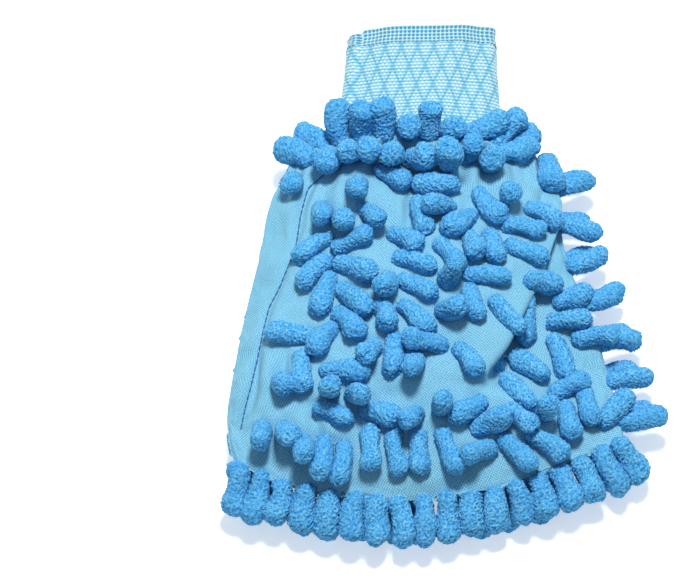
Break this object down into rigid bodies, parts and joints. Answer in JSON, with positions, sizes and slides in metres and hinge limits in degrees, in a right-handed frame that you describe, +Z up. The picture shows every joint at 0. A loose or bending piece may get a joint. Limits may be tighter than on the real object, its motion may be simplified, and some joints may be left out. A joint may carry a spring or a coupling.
{
  "type": "wash mitt",
  "caption": "Chenille wash mitt: a cloth pocket covered on both sides with rows of soft tufts, gathered into a knitted elastic wrist cuff.",
  "frame": {"origin": "bottom centre of the whole mitt's box, on the surface that it lies on", "axes": "+Y from the fingertip hem to the cuff, +Z up out of the palm side, +X to the right seen from above with the cuff away"},
  "size_m": [0.1998, 0.2582, 0.0565],
  "materials": {
    "cloth": "matt woven microfibre cloth",
    "chenille": "matt tufted microfibre pile",
    "knit": "matt rib-like knit with a lattice pattern",
    "thread": "sewing thread",
    "elastic": "covered elastic thread"
  },
  "bodies": {
    "mitt": {"back_gather": "cloth", "back_noodles_row_1": "chenille", "back_noodles_row_2": "chenille", "back_noodles_row_3": "chenille", "back_noodles_row_4": "chenille", "back_noodles_row_5": "chenille", "back_noodles_row_6": "chenille", "back_panel": "cloth", "back_tuft_threads": "thread", "hem_noodles_lower": "chenille", "hem_noodles_upper": "chenille", "hem_overlock": "thread", "hem_seam": "cloth", "left_side_noodles_lower": "chenille", "left_side_overlock": "thread", "left_side_seam": "cloth", "palm_gather": "cloth", "palm_noodles_mouth": "chenille", "palm_noodles_row_1": "chenille", "palm_noodles_row_2": "chenille", "palm_noodles_row_3": "chenille", "palm_noodles_row_4": "chenille", "palm_noodles_row_5": "chenille", "palm_noodles_row_6": "chenille", "palm_noodles_row_7": "chenille", "palm_noodles_row_8": "chenille", "palm_panel": "cloth", "palm_tuft_threads": "thread", "right_side_noodles_lower": "chenille", "right_side_noodles_upper": "chenille", "right_side_overlock": "thread", "right_side_seam": "cloth"},
    "cuff": {"cuff_elastic": "elastic", "cuff_knit": "knit", "cuff_seam": "cloth", "cuff_welt": "knit", "neck_noodles_back": "chenille", "neck_noodles_sides": "chenille", "neck_noodles_top": "chenille"}
  },
  "joints": [
    {"name": "wrist_flex", "type": "hinge", "parent": "mitt", "child": "cuff", "pos_m": [-0.01265, 0.06406, 0.018], "axis": [1, 0, 0], "range_deg": [-30, 10], "deforming": ["palm_gather", "back_gather"]}
  ]
}
